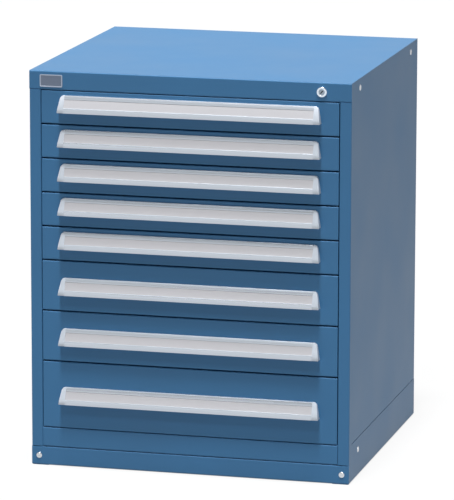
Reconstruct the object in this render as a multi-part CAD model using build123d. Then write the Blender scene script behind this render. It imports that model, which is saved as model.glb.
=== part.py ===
from build123d import *
import math
import os

# A modular drawer cabinet: a bolted sheet-steel housing with eight full-extension drawers on roller
# carriages, a full-width handle on each drawer, and one key lock whose bar holds every drawer shut.
# Millimetres. +Z is up, -Y is the front and +X is to the right as seen from the front. The origin is
# on the floor, midway between the sides and midway between the handles' lips and the back.

# Housing
width = 762.0
depth = 717.5                # housing alone, without the handles
height = 935.0
base_height = 45.6           # the cover strip at the floor
bottom_rail_height = 45.9
header_height = 43.5
stile_width = 27.5
stile_return = 22.0          # how far the stile's inner edge folds back
corner_wrap = 26.0           # the corner post's width on the side, beside the base skirt
rear_flange = 20.0
header_lip = 14.0
top_side_flange = 35.0
top_rear_flange = 25.0
pan_lip = 18.0
pan_side_flange = 50.0
sheet = 1.5
bend = 3.0                   # outer radius of a fold in the housing's sheet
past = 1.0                   # how far a cut runs past the face that it opens

# Base
base_sheet = 2.5
base_bend = 4.0
base_flange = 40.0
rear_rail_flange = 25.0
anchor_hole_radius = 6.5
anchor_inset = 22.0          # from the side to an anchor hole's centre
anchor_end_inset = 75.0      # from the front or back to an anchor hole's centre
cover_lip = 12.0
cover_floor_gap = 1.0
cover_top_gap = 0.8
cover_tab_width = 32.0
cover_tab_top_gap = 4.0
cover_screw_inset = 17.5

# Screws, and bolts with a square neck under a round head
head_radius = 7.0
head_height = 2.2
shank_radius = 3.0
shank_length = 9.0
neck_width = 6.0
hole_clearance = 0.2
driver_slot_width = 1.6
driver_slot_depth = 0.9
side_bolt_front = 85.0       # from the front to the side's front bolts
side_bolt_rear = 81.5        # from the back to the side's rear bolt
base_bolt_front = 91.0
base_bolt_height = 63.0

# Drawers, five short, two middle and one deep, in units of height from the top to the bottom
drawer_units = [2] * 5 + [3] * 2 + [4]
front_gap = 3.0              # between one front and the next
front_side_gap = 1.5         # between a front and the stile
front_fold = 18.0
drawer_sheet = 1.2
front_bend = 2.5

# Drawer trays
tray_floor_gap = 9.0         # from the bottom of the drawer's space to the tray's floor
tray_top_gap = 12.0          # from the tray's rim to the top of the drawer's space
tray_rear_gap = 47.0         # from the tray to the back panel
rim_width = 5.0

# Slides
rail_height = 28.0
rail_reach = 11.0            # how far a rail's flanges stand out from its web
rail_sheet = 2.0
rail_lift = 12.0             # from the bottom of the drawer's space to the rails
rail_front_gap = 26.0        # from the front to the rails and runners
rail_rear_gap = 28.5         # from the back panel to the rails
runner_rear_gap = 2.0        # from the runner's end to the tray's rear wall
carriage_bar = 3.0
carriage_bar_height = 18.0
carriage_end_gap = 2.0
carriage_side_gap = 0.6
roller_clearance = 0.3
roller_end_gap = 0.6
roller_inset = 17.0
roller_spacing = 275.0
roller_sides = 9             # the rollers repeat 64 times, so each has flat sides

# Uprights
upright_sheet = 2.0
upright_width = 30.0
upright_front_gap = 48.0
upright_rear_gap = 45.0      # from the back panel to the rear uprights
upright_slot_width = 5.0
upright_slot_height = 14.0
upright_slot_pitch = 80.0
upright_slot_end = 16.0

# Handles, whose sloping face has a groove for a label strip above an upright lip
handle_height = 40.0
handle_reach = 18.0          # how far the lip stands out from the front
handle_top = 4.5             # how far the top edge stands out
handle_lip_height = 10.5
handle_leg = 24.5            # the leg that lies on the drawer's front
handle_leg_sheet = 2.4
handle_wall = 2.2
handle_side_gap = 42.5       # from the stile to the handle's end
short_handle_rise = 8.8      # above the middle of a short drawer
groove_top = 8.0             # below the handle's top edge
groove_depth = 1.2
label_thickness = 0.8
end_cap_length = 16.0
end_cap_slope = 6.5
end_cap_corner = 8.0

# Lock
lock_side_inset = 69.5       # from the right side to the lock's centre
lock_flange_radius = 12.5
lock_flange_height = 3.5
lock_barrel_radius = 10.0
lock_barrel_length = 20.0
lock_hole_clearance = 0.2
plug_radius = 6.5
plug_clearance = 0.05
plug_setback = 0.5
plug_end_gap = 0.5
keyway_width = 2.2
keyway_height = 9.0
keyway_depth = 6.0
keyway_turn = 40.0           # degrees from upright
crank_radius = 6.5
crank_half_swing = 45.0      # degrees below and above the level
crank_sheet = 3.0
crank_width = 13.0
crank_pin_radius = 2.5
crank_pin_clearance = 0.4
crank_pin_proud = 1.0        # how far the pin stands out past the yoke

# Lock bar, with its fingers in front of the drawers' catches
bar_front_gap = 5.0          # from the stile's fold to the bar
bar_side_gap = 3.5           # from the rails' plane to the bar
bar_width = 18.0
bar_sheet = 3.0
bar_foot_gap = 20.0          # from the bottom pan to the bar's lower end
yoke_sheet = 2.5
yoke_half_height = 8.0
yoke_end = 11.0              # past the lock's centre line
finger_gap = 3.0             # from the top of the rails to the finger, unlocked
finger_height = 5.0
finger_tail = 11.0           # the finger's length that is riveted to the bar
catch_gap = 2.5              # above an unlocked finger
catch_play = 2.0             # in front of the catch
catch_height = 6.0
catch_reach = 20.0
catch_engagement = 9.0
catch_thickness = 6.0
guide_height = 20.0
guide_lift = 12.0
guide_wall = 2.0
guide_clearance = 0.3

# Nameplate, left bare
plate_width = 54.0
plate_height = 29.0
plate_thickness = 1.6
plate_rim = 2.2
plate_field_depth = 0.6
plate_corner = 3.0
plate_side_inset = 25.6
plate_top_inset = 8.1

half_width = width / 2
front_y = (handle_reach - depth) / 2
rear_y = front_y + depth
deck_z = base_height + bottom_rail_height
skirt_top = deck_z - sheet
header_z = height - header_height
drawer_unit = (header_z - deck_z) / sum(drawer_units)
drawer_heights = [units * drawer_unit for units in drawer_units]
stile_inner = half_width - stile_width
panel_inner = half_width - sheet
skirt_inner = half_width - base_sheet
back_inner = rear_y - 2 * sheet

rail_plane = stile_inner
bar_outer_x = rail_plane - rail_reach - carriage_side_gap
bar_inner_x = bar_outer_x - carriage_bar
tray_half = bar_inner_x - carriage_side_gap - rail_reach
rail_front = front_y + rail_front_gap
rail_rear = back_inner - rail_rear_gap
tray_front = front_y + drawer_sheet
tray_rear = back_inner - tray_rear_gap
roller_radius = rail_height / 2 - rail_sheet - roller_clearance

lock_x = half_width - lock_side_inset
lock_z = header_z + header_height / 2
crank_drop = crank_radius * math.sin(math.radians(crank_half_swing))
lock_travel = 2 * crank_drop
crank_front = front_y + lock_barrel_length + plug_end_gap
lock_bar_y = front_y + stile_return + bar_front_gap
lock_bar_x = rail_plane + bar_side_gap
yoke_z = lock_z - crank_drop
finger_tip = tray_half + catch_reach - catch_engagement
finger_lift = rail_lift + rail_height + finger_gap
catch_lift = finger_lift + finger_height + catch_gap


def block(x0, x1, y0, y1, z0, z1):
    """A box between two opposite corners, named in either order."""
    centre = Pos((x0 + x1) / 2, (y0 + y1) / 2, (z0 + z1) / 2)
    return centre * Box(abs(x1 - x0), abs(y1 - y0), abs(z1 - z0))


def rod_y(x, y0, y1, z, radius):
    """A round bar along Y."""
    return Pos(x, (y0 + y1) / 2, z) * Rot(90, 0, 0) * Cylinder(radius, y1 - y0)


def mirrored(piece):
    """The same piece on the left-hand side."""
    return mirror(piece, about=Plane.YZ)


def folded(points, thickness, side, radius):
    """Section of a sheet whose outer face runs through the points, rounded at each fold."""
    section = pressed(points, thickness, side)
    folds = [section.vertices().sort_by_distance(point)[0] for point in points[1:-1]]
    return fillet(folds, radius)


def pressed(points, thickness, side):
    """Section of a sheet with sharp folds, whose outer face runs through the points."""
    outer = Polyline(*points)
    return make_face(offset(outer, amount=thickness, side=side, kind=Kind.INTERSECTION))


def along_x(section, x0, x1):
    """A section drawn in Y and Z, drawn out along X."""
    return Pos(x0, 0, 0) * extrude(Plane.YZ * section, amount=x1 - x0)


def along_y(section, y0, y1):
    """A section drawn in X and Z, drawn out along Y."""
    return Pos(0, y0, 0) * extrude(Plane.XZ * section, amount=y0 - y1)


def along_z(section, z0, z1):
    """A section drawn in X and Y, drawn out along Z."""
    return Pos(0, 0, z0) * extrude(section, amount=z1 - z0)


def save(name, *solids):
    """Write one node, as one solid or as a group of separate ones."""
    pieces = [solid for piece in solids for solid in piece.solids()]
    shape = pieces[0] if len(pieces) == 1 else Compound(pieces)
    export_step(shape, f"parts/{name}.step")


def drawer_spaces():
    """Number, lowest point and height of each drawer's space, from the top one down."""
    floor = header_z
    for number, space in enumerate(drawer_heights, start=1):
        floor -= space
        yield number, floor, space


def side_bolt_places():
    """Where the bolts go through the right-hand side."""
    yield front_y + side_bolt_front, lock_z
    yield rear_y - side_bolt_rear, lock_z
    yield front_y + base_bolt_front, base_bolt_height


def side_bolt_holes():
    """The square holes for those bolts' necks, to cut away."""
    hole = Box(2 * shank_length, neck_width + 2 * hole_clearance, neck_width + 2 * hole_clearance)
    return [Pos(half_width, y, z) * hole for y, z in side_bolt_places()]


def side_panel():
    """Right side: the stile, the wall and the rear flange, folded from one sheet.

    Beside the base it ends one sheet above the skirt, so that a narrow joint shows there."""
    stile_edge = (stile_inner, front_y + stile_return)
    front_corners = [(stile_inner, front_y), (half_width, front_y)]
    rear_corners = [(half_width, rear_y), (half_width - rear_flange, rear_y)]
    full = [stile_edge] + front_corners + rear_corners
    plain = [(half_width, front_y + sheet)] + rear_corners
    panel = along_z(folded(full, sheet, Side.LEFT, bend), base_height, header_z)
    panel += along_z(folded(plain, sheet, Side.LEFT, bend), header_z, height - sheet)
    panel -= block(
        stile_inner - past,
        half_width + past,
        front_y + corner_wrap,
        rear_y + past,
        base_height - past,
        deck_z,
    )
    for hole in side_bolt_holes():
        panel -= hole
    return panel


def back_panel():
    """Back, flat against the inside of the side panels' rear flanges."""
    return block(-panel_inner, panel_inner, back_inner, back_inner + sheet, skirt_top, height - sheet)


def top_cover():
    """Top with the header band folded down in front and flanges inside the sides and the back."""
    section = folded(
        [
            (front_y + header_lip, header_z),
            (front_y, header_z),
            (front_y, height),
            (rear_y, height),
            (rear_y, height - top_rear_flange),
        ],
        sheet,
        Side.RIGHT,
        bend,
    )
    cover = along_x(section, -half_width, half_width)
    under = height - sheet
    for sign in (-1, 1):
        outer, rear = sign * (half_width + past), sign * (half_width - rear_flange)
        panel, flange = sign * panel_inner, sign * (panel_inner - sheet)
        cover -= block(outer, panel, front_y + sheet, rear_y + past, header_z - past, under)
        cover -= block(outer, rear, back_inner, rear_y + past, header_z - past, under)
        cover += block(panel, flange, front_y + sheet, back_inner, height - top_side_flange, under)
    for hole in side_bolt_holes():
        cover -= hole
        cover -= mirrored(hole)
    lock_hole = lock_barrel_radius + lock_hole_clearance
    return cover - rod_y(lock_x, front_y - past, front_y + header_lip, lock_z, lock_hole)


def bottom_pan():
    """Floor of the housing, with the bottom rail folded down in front and a flange on each side."""
    section = folded(
        [
            (front_y + pan_lip, base_height),
            (front_y, base_height),
            (front_y, deck_z),
            (back_inner, deck_z),
        ],
        sheet,
        Side.RIGHT,
        bend,
    )
    pan = along_x(section, -panel_inner, panel_inner)
    for sign in (-1, 1):
        stile, outer = sign * stile_inner, sign * (half_width + past)
        low, high = base_height - past, deck_z + past
        pan -= block(stile, outer, front_y - past, front_y + stile_return, low, high)
        web, flange = sign * skirt_inner, sign * (skirt_inner - sheet)
        back = front_y + corner_wrap + sheet
        pan += block(web, flange, back, back_inner, deck_z - pan_side_flange, skirt_top)
    for hole in side_bolt_holes():
        pan -= hole
        pan -= mirrored(hole)
    return pan


def anchor_holes():
    """Floor-anchor holes in the right-hand skirt."""
    x = half_width - anchor_inset
    for y in (front_y + anchor_end_inset, rear_y - anchor_end_inset):
        yield Pos(x, y, base_sheet / 2) * Cylinder(anchor_hole_radius, 4 * base_sheet)


def base_skirt():
    """Right side of the base: a wall, a floor flange with anchor holes and a tab for the cover."""
    corner = [(half_width - base_flange, 0), (half_width, 0), (half_width, skirt_top)]
    section = folded(corner, base_sheet, Side.LEFT, base_bend)
    start = front_y + sheet
    skirt = along_y(section, start, rear_y)
    skirt -= block(
        skirt_inner - past,
        half_width + past,
        start - past,
        front_y + corner_wrap,
        base_height,
        skirt_top + past,
    )
    tab_top = base_height - cover_tab_top_gap
    skirt += block(
        half_width - cover_tab_width, skirt_inner, start, start + base_sheet, base_sheet, tab_top
    )
    for hole in side_bolt_holes():
        skirt -= hole
    for hole in anchor_holes():
        skirt -= hole
    clip = neck_width + 4 * hole_clearance
    clip_hole = Box(clip, 4 * base_sheet, clip)
    return skirt - Pos(half_width - cover_screw_inset, start, base_height / 2) * clip_hole


def rear_base_rail():
    """Back of the base, standing on the skirts' floor flanges and carrying the bottom pan."""
    corner = [(rear_y, base_sheet), (rear_y, skirt_top), (rear_y - rear_rail_flange, skirt_top)]
    section = folded(corner, base_sheet, Side.LEFT, base_bend)
    inner = skirt_inner - sheet
    return along_x(section, -inner, inner)


def cover_screw_hole():
    """The right-hand screw's hole through the base cover."""
    x, z = half_width - cover_screw_inset, base_height / 2
    return rod_y(x, front_y - past, front_y + cover_lip, z, shank_radius + hole_clearance)


def base_front_cover():
    """Strip across the front at the floor, folded back along its top and bottom edges."""
    low, high = cover_floor_gap, base_height - cover_top_gap
    edges = [
        (front_y + cover_lip, low),
        (front_y, low),
        (front_y, high),
        (front_y + cover_lip, high),
    ]
    cover = along_x(folded(edges, sheet, Side.RIGHT, bend), -half_width, half_width)
    for sign in (-1, 1):
        inner, outer = sign * (half_width - base_flange - cover_floor_gap), sign * (half_width + past)
        cover -= block(inner, outer, front_y + sheet, front_y + cover_lip + past, 0, base_height)
    return cover - cover_screw_hole() - mirrored(cover_screw_hole())


def slotted_screw():
    """A low round head on the plane Z = 0 with its shank below, and a driver slot."""
    head = Pos(0, 0, head_height / 2) * Cylinder(head_radius, head_height)
    shank = Pos(0, 0, -shank_length / 2) * Cylinder(shank_radius, shank_length)
    slot = Box(2 * (head_radius + past), driver_slot_width, 2 * driver_slot_depth)
    return head + shank - Pos(0, 0, head_height) * slot


def base_cover_screws():
    """The two screws that hold the base cover."""
    x, z = half_width - cover_screw_inset, base_height / 2
    right = Pos(x, front_y, z) * Rot(90, 0, 0) * slotted_screw()
    return [right, mirrored(right)]


def side_bolts():
    """Three bolts through each side."""
    head = Pos(head_height / 2, 0, 0) * Rot(0, 90, 0) * Cylinder(head_radius, head_height)
    bolt = head + Pos(-shank_length / 2, 0, 0) * Box(shank_length, neck_width, neck_width)
    bolts = [Pos(half_width, y, z) * bolt for y, z in side_bolt_places()]
    return bolts + [mirrored(bolt) for bolt in bolts]


def upright(front):
    """Right-hand slotted upright, a channel fixed to the side panel."""
    back = front + upright_width
    section = pressed(
        [(panel_inner, back), (rail_plane, back), (rail_plane, front), (panel_inner, front)],
        upright_sheet,
        Side.LEFT,
    )
    post = along_z(section, deck_z, header_z)
    rows = int((header_z - deck_z - 2 * upright_slot_end) // upright_slot_pitch) + 1
    for row in range(rows):
        z = deck_z + upright_slot_end + upright_slot_height / 2 + row * upright_slot_pitch
        slot = Box(4 * upright_sheet, upright_slot_width, upright_slot_height)
        post -= Pos(rail_plane, (front + back) / 2, z) * slot
    return post


def uprights():
    """Four uprights, two at each side."""
    front = upright(front_y + upright_front_gap)
    rear = upright(back_inner - upright_rear_gap - upright_width)
    return [front, rear, mirrored(front), mirrored(rear)]


def rail(web_x, open_x, side, y0, y1, floor):
    """A channel rail lying along Y, open towards the carriage."""
    low, high = floor + rail_lift, floor + rail_lift + rail_height
    section = pressed([(open_x, low), (web_x, low), (web_x, high), (open_x, high)], rail_sheet, side)
    return along_y(section, y0, y1)


def cabinet_rails():
    """A rail on each side of each drawer, fixed to the uprights."""
    rails = []
    for _, floor, _ in drawer_spaces():
        right = rail(rail_plane, rail_plane - rail_reach, Side.LEFT, rail_front, rail_rear, floor)
        rails += [right, mirrored(right)]
    return rails


def carriage(floor):
    """Right-hand carriage: a bar with two rollers in the cabinet rail and two in the runner."""
    middle = floor + rail_lift + rail_height / 2
    start, end = rail_front + carriage_end_gap, rail_rear - carriage_end_gap
    low, high = middle - carriage_bar_height / 2, middle + carriage_bar_height / 2
    pieces = [block(bar_inner_x, bar_outer_x, start, end, low, high)]
    width_over = rail_reach + carriage_side_gap - rail_sheet - roller_end_gap
    roller = extrude(Plane.YZ * RegularPolygon(roller_radius, roller_sides), amount=width_over)
    for step in (0, roller_spacing):
        near, far = start + roller_inset + step, end - roller_inset - step
        pieces.append(Pos(bar_inner_x - width_over, near, middle) * roller)
        pieces.append(Pos(bar_outer_x, far, middle) * roller)
    return pieces


def tray(floor, space):
    """An open tray: the floor and sides folded from one sheet with a rim turned out, and two ends."""
    low, high = floor + tray_floor_gap, floor + space - tray_top_gap
    rim, under = tray_half + rim_width, high - drawer_sheet
    right = [(tray_half, low), (tray_half, under), (rim, under)]
    left = [(-x, z) for x, z in reversed(right)]
    section = pressed(left + right, drawer_sheet, Side.LEFT)
    inner, deck = tray_half - drawer_sheet, low + drawer_sheet
    ends = [
        block(-inner, inner, y, y + drawer_sheet, deck, high)
        for y in (tray_front, tray_rear - drawer_sheet)
    ]
    return [along_y(section, tray_front, tray_rear)] + ends


def runners(floor):
    """The drawer's own rails, on the outside of its tray."""
    end = tray_rear - runner_rear_gap
    right = rail(tray_half, tray_half + rail_reach, Side.RIGHT, rail_front, end, floor)
    return [right, mirrored(right)]


def catch(floor):
    """Catch on the tray's right side, behind the lock bar's finger."""
    y = lock_bar_y + bar_sheet + bar_sheet + catch_play
    low = floor + catch_lift
    return block(
        tray_half, tray_half + catch_reach, y, y + catch_thickness, low, low + catch_height
    )


def drawer_front(floor, space):
    """Drawer front, a shallow pan folded back on all four sides."""
    half = stile_inner - front_side_gap
    low, high = floor + front_gap / 2, floor + space - front_gap / 2
    back = front_y + front_fold
    edges = [(back, low), (front_y, low), (front_y, high), (back, high)]
    front = along_x(folded(edges, drawer_sheet, Side.RIGHT, front_bend), -half, half)
    for sign in (-1, 1):
        outer, inner = sign * half, sign * (half - drawer_sheet)
        front += block(
            outer, inner, front_y + drawer_sheet, back, low + drawer_sheet, high - drawer_sheet
        )
    return front


def handle_base(floor, space):
    """Height of the handle's lower edge above the floor."""
    rise = short_handle_rise if space == min(drawer_heights) else 0
    return floor + space / 2 + rise - handle_height / 2


def handle_face_points(z):
    """The handle's outer line from the drawer's front over the top and down to the lip."""
    return [
        (front_y, z + handle_height),
        (front_y - handle_top, z + handle_height),
        (front_y - handle_reach, z + handle_lip_height),
        (front_y - handle_reach, z),
    ]


def face_point(z, up, depth):
    """A point so far up the handle and so deep under its sloping face."""
    slope = math.atan2(handle_reach - handle_top, handle_height - handle_lip_height)
    reach = handle_reach - (up - handle_lip_height) * math.tan(slope)
    return (front_y - reach + depth * math.cos(slope), z + up - depth * math.sin(slope))


def groove_points(z, depth):
    """The label groove's four corners, from its top edge inwards and back out at its lower edge."""
    high, low = handle_height - groove_top, handle_lip_height + handle_wall / 2
    return [face_point(z, up, inset) for up, inset in ((high, 0), (high, depth), (low, depth), (low, 0))]


def handle(z):
    """Aluminium pull: a leg on the drawer's front, a sloping face with a groove, and a lip."""
    back, top, lip, foot = handle_face_points(z)
    leg = z + handle_height - handle_leg
    wall = groove_depth + handle_wall
    inner_top = z + handle_height - handle_leg / 2
    points = [
        back,
        top,
        *groove_points(z, groove_depth),
        lip,
        foot,
        (front_y - handle_reach + handle_wall, z),
        (front_y - handle_reach + handle_wall, z + handle_lip_height - handle_wall / 2),
        face_point(z, handle_lip_height + handle_wall, wall),
        face_point(z, inner_top - z, wall),
        (front_y - handle_leg_sheet, inner_top),
        (front_y - handle_leg_sheet, leg),
        (front_y, leg),
    ]
    section = make_face(Polyline(*points, close=True))
    rounded = [section.vertices().sort_by_distance(point)[0] for point in (top, foot)]
    section = fillet(rounded, handle_wall / 2)
    end = handle_end() - end_cap_length
    return along_x(section, -end, end)


def label_strip(z):
    """Blank strip in the handle's groove."""
    bottom = groove_points(z, groove_depth)[1:3]
    face = groove_points(z, groove_depth - label_thickness)[1:3]
    section = make_face(Polyline(*bottom, *reversed(face), close=True))
    end = handle_end() - end_cap_length
    return along_x(section, -end, end)


def handle_end():
    """Half the handle's length, end caps included."""
    return stile_inner - handle_side_gap


def end_cap(z):
    """Right-hand moulded cap, the handle's outline filled in, leaning in towards the top."""
    side = make_face(Polyline(*handle_face_points(z), (front_y, z), close=True))
    end, top = handle_end(), z + handle_height
    inner, shoulder = end - end_cap_length, end - end_cap_slope
    face = make_face(Polyline((inner, z), (end, z), (shoulder, top), (inner, top), close=True))
    corner = face.vertices().group_by(Axis.Y)[-1].sort_by(Axis.X)[-1]
    face = fillet(corner, end_cap_corner)
    return along_x(side, inner, end) & along_y(face, front_y - handle_reach, front_y)


def lock_barrel():
    """Fixed part of the lock: a flanged sleeve through the header."""
    sleeve = rod_y(lock_x, front_y, front_y + lock_barrel_length, lock_z, lock_barrel_radius)
    sleeve += rod_y(lock_x, front_y - lock_flange_height, front_y, lock_z, lock_flange_radius)
    start, end = front_y - lock_flange_height - past, front_y + lock_barrel_length + past
    return sleeve - rod_y(lock_x, start, end, lock_z, plug_radius + plug_clearance)


def lock_plug():
    """Turning plug with its keyway."""
    start = front_y - lock_flange_height + plug_setback
    plug = rod_y(lock_x, start, crank_front, lock_z, plug_radius)
    key = Box(keyway_width, 2 * keyway_depth, keyway_height)
    return plug - Pos(lock_x, start, lock_z) * Rot(0, keyway_turn, 0) * key


def lock_crank():
    """Crank behind the plug, whose pin rides in the lock bar's yoke."""
    back = crank_front + crank_sheet
    swing = math.radians(-crank_half_swing)
    pin_x, pin_z = lock_x + crank_radius * math.cos(swing), lock_z + crank_radius * math.sin(swing)
    crank = rod_y(lock_x, crank_front, back, lock_z, crank_width / 2)
    crank += rod_y(pin_x, crank_front, back, pin_z, crank_width / 2)
    arm = Box(crank_radius, crank_sheet, crank_width)
    middle = Pos((lock_x + pin_x) / 2, (crank_front + back) / 2, (lock_z + pin_z) / 2)
    crank += middle * Rot(0, crank_half_swing, 0) * arm
    return crank + rod_y(pin_x, crank_front, lock_bar_y + crank_pin_proud, pin_z, crank_pin_radius)


def lock_bar():
    """Vertical bar, and the yoke across its top with the slot for the crank's pin."""
    end = lock_bar_x + bar_width
    top, foot = yoke_z + yoke_half_height, deck_z + bar_foot_gap
    bar = block(lock_bar_x, end, lock_bar_y, lock_bar_y + bar_sheet, foot, top)
    yoke = block(
        lock_x - yoke_end, end, lock_bar_y - yoke_sheet, lock_bar_y, yoke_z - yoke_half_height, top
    )
    play = crank_pin_radius + crank_pin_clearance
    near = lock_x + crank_radius * math.cos(math.radians(crank_half_swing)) - play
    far = lock_x + crank_radius + play
    front, back = lock_bar_y - yoke_sheet - past, lock_bar_y + past
    yoke -= block(near, far, front, back, yoke_z - play, yoke_z + play)
    return [bar, yoke]


def lock_fingers():
    """One finger for each drawer, riveted to the back of the bar."""
    back = lock_bar_y + bar_sheet
    for _, floor, _ in drawer_spaces():
        low = floor + finger_lift
        yield block(
            finger_tip, lock_bar_x + finger_tail, back, back + bar_sheet, low, low + finger_height
        )


def lock_bar_guides():
    """Three moulded guides on the side panel that keep the bar upright."""
    spaces = list(drawer_spaces())
    left, right = lock_bar_x - guide_clearance, lock_bar_x + bar_width + guide_clearance
    near, far = lock_bar_y - guide_clearance, lock_bar_y + bar_sheet + guide_clearance
    for _, floor, _ in (spaces[0], spaces[len(spaces) // 2], spaces[-1]):
        low = floor + guide_lift
        guide = block(
            left - guide_wall, panel_inner, near - guide_wall, far + guide_wall, low, low + guide_height
        )
        yield guide - block(left, right, near, far, low - past, low + guide_height + past)


def nameplate():
    """Bare plate on the header, with a raised rim round a plain field."""
    x = plate_side_inset + plate_width / 2 - half_width
    z = height - plate_top_inset - plate_height / 2
    outline = RectangleRounded(plate_width, plate_height, plate_corner)
    field = RectangleRounded(
        plate_width - 2 * plate_rim, plate_height - 2 * plate_rim, plate_corner - plate_rim / 2
    )
    plate = extrude(outline, amount=plate_thickness)
    plate -= Pos(0, 0, plate_thickness - plate_field_depth) * extrude(field, amount=plate_thickness)
    return Pos(x, front_y, z) * Rot(90, 0, 0) * plate


os.makedirs("parts", exist_ok=True)

right_panel = side_panel()
right_skirt = base_skirt()
save("right_side_panel", right_panel)
save("left_side_panel", mirrored(right_panel))
save("back_panel", back_panel())
save("top_cover", top_cover())
save("bottom_pan", bottom_pan())
save("right_base_skirt", right_skirt)
save("left_base_skirt", mirrored(right_skirt))
save("rear_base_rail", rear_base_rail())
save("base_front_cover", base_front_cover())
save("base_cover_screws", *base_cover_screws())
save("side_bolts", *side_bolts())
save("uprights", *uprights())
save("cabinet_rails", *cabinet_rails())
save("nameplate", nameplate())
save("lock_barrel", lock_barrel())
save("lock_plug", lock_plug())
save("lock_crank", lock_crank())
save("lock_bar", *lock_bar())
save("lock_fingers", *lock_fingers())
save("lock_bar_guides", *lock_bar_guides())

for number, floor, space in drawer_spaces():
    name = f"drawer_{number}"
    right_carriage = carriage(floor)
    handle_z = handle_base(floor, space)
    right_cap = end_cap(handle_z)
    save(f"{name}_tray", *tray(floor, space), *runners(floor), catch(floor))
    save(f"{name}_front", drawer_front(floor, space))
    save(f"{name}_handle", handle(handle_z))
    save(f"{name}_handle_trim", right_cap, mirrored(right_cap), label_strip(handle_z))
    save(f"{name}_carriages", *right_carriage, *[mirrored(piece) for piece in right_carriage])

print("lock bar travel", round(lock_travel, 3), "housing front at Y", front_y, "height", height)
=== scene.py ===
"""Looks of a modular drawer cabinet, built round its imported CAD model.

Metres. +Z is up, -Y is the front and +X is to the right as seen from the front.
"""

import math

import bmesh
import bpy
from bpy.props import FloatProperty, FloatVectorProperty, PointerProperty
from mathutils import Matrix, Vector


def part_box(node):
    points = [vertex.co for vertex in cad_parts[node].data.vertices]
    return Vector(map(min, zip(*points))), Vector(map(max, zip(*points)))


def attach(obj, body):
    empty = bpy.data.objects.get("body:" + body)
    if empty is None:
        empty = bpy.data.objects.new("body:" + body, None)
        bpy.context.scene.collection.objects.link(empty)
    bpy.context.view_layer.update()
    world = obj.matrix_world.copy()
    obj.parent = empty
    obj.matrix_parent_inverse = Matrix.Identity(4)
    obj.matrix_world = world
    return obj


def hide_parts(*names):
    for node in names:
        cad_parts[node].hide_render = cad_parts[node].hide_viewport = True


bl_info = {
    "name": "Modular drawer cabinet",
    "version": (1, 0, 0),
    "blender": (4, 5, 0),
    "location": "3D View > Sidebar > Cabinet",
    "description": "Finishes, trim and studio of a steel cabinet with eight locking drawers",
    "category": "Object",
}

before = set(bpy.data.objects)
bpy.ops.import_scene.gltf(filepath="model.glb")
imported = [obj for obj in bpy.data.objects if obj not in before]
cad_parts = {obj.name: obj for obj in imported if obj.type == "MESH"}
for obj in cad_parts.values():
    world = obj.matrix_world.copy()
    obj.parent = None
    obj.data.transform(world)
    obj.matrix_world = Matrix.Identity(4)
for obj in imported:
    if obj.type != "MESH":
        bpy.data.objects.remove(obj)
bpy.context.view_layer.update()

DRAWERS = sum(name.endswith("_tray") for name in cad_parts)
PAINTED = (
    "right_side_panel",
    "left_side_panel",
    "back_panel",
    "top_cover",
    "bottom_pan",
    "right_base_skirt",
    "left_base_skirt",
    "rear_base_rail",
    "base_front_cover",
)
ZINC_PLATED = ("uprights", "cabinet_rails", "lock_bar", "lock_fingers", "lock_crank")
ACROSS, BACKWARD, UPWARD = Vector((1, 0, 0)), Vector((0, 1, 0)), Vector((0, 0, 1))
PANEL_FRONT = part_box("top_cover")[0].y
PANEL_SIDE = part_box("top_cover")[1].x

# Points nearer to each other than this are at one place.
SAME_PLACE = 1e-6
# Angles between two faces from which their edge is rounded, and from which it shows as a crease.
SHARP_ANGLE, CREASE_ANGLE = math.radians(30), math.radians(32)

# Half of a low domed head, from its crown to its foot, as shares of its radius and height.
DOMED_HEAD = ((0, 1), (0.36, 0.965), (0.66, 0.81), (0.86, 0.56), (0.97, 0.25), (1, 0.07), (1, 0))
# Rolled face of the lock's ring, from its bore outwards, as shares of its width and flange.
RING_FACE = ((0, 0.72), (0.10, 0.92), (0.35, 1), (0.78, 0.94), (0.96, 0.62), (1, 0.34))
# Half of a roller with its hub and tread, from its open side round, as shares of radius and width.
ROLLER_SECTION = (
    (0, 1),
    (0.26, 1),
    (0.30, 0.95),
    (0.30, 0.80),
    (0.82, 0.80),
    (0.87, 0.97),
    (0.96, 0.97),
    (1, 0.92),
    (1, 0.08),
    (0.96, 0.03),
    (0.40, 0.03),
    (0.40, 0),
    (0, 0),
)
# A roller's radius as a share of the height of its nine-sided CAD solid.
ROLLER_SHARE = 0.505
# The rounding of a carriage bar's ends as a share of its height.
BAR_END_SHARE = 0.4
# The thickness of the lips over a label groove as a share of its depth.
GROOVE_LIP_SHARE = 0.4
# The lock's bore as a share of its plug's radius, and its sleeve as a share of its flange's.
LOCK_BORE_SHARE, LOCK_SLEEVE_SHARE = 1.008, 0.8

DUST_COLOUR = (0.55, 0.53, 0.50)
# Height of drawn and brushed lines, and of a moulded skin.
LINE_HEIGHT, PEBBLE_HEIGHT = 0.00001, 0.00002
# Scale of the nameplate's brushing along X, Y and Z. Its lines run along X.
PLATE_BRUSHING = (20, 2500, 2500)

# Each lamp, with the studio's setting for its strength and its height in degrees above the floor.
LAMPS = (
    ("overhead_lamp", "overhead", 88),
    ("high_front_lamp", "high", 76.5),
    ("front_lamp", "front", 58),
)
# Its spread softens a distant lamp's shadows, and its place changes nothing in the light.
LAMP_SPREAD, LAMP_PLACE = math.radians(10), (0, -2, 3)
# Spans over which gloss shows the floor and the sky dimming: the floor by metres behind the
# cabinet's middle, and the sky by the sine of its height.
FLOOR_DIMMING, SKY_DIMMING = (0.4, 4.5), (0.22, 0.58)
# Width of the change from the painted shade on the floor under the cabinet to the glowing floor
# beside it.
PAINTED_SHADE_BLEND = 0.006


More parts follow.
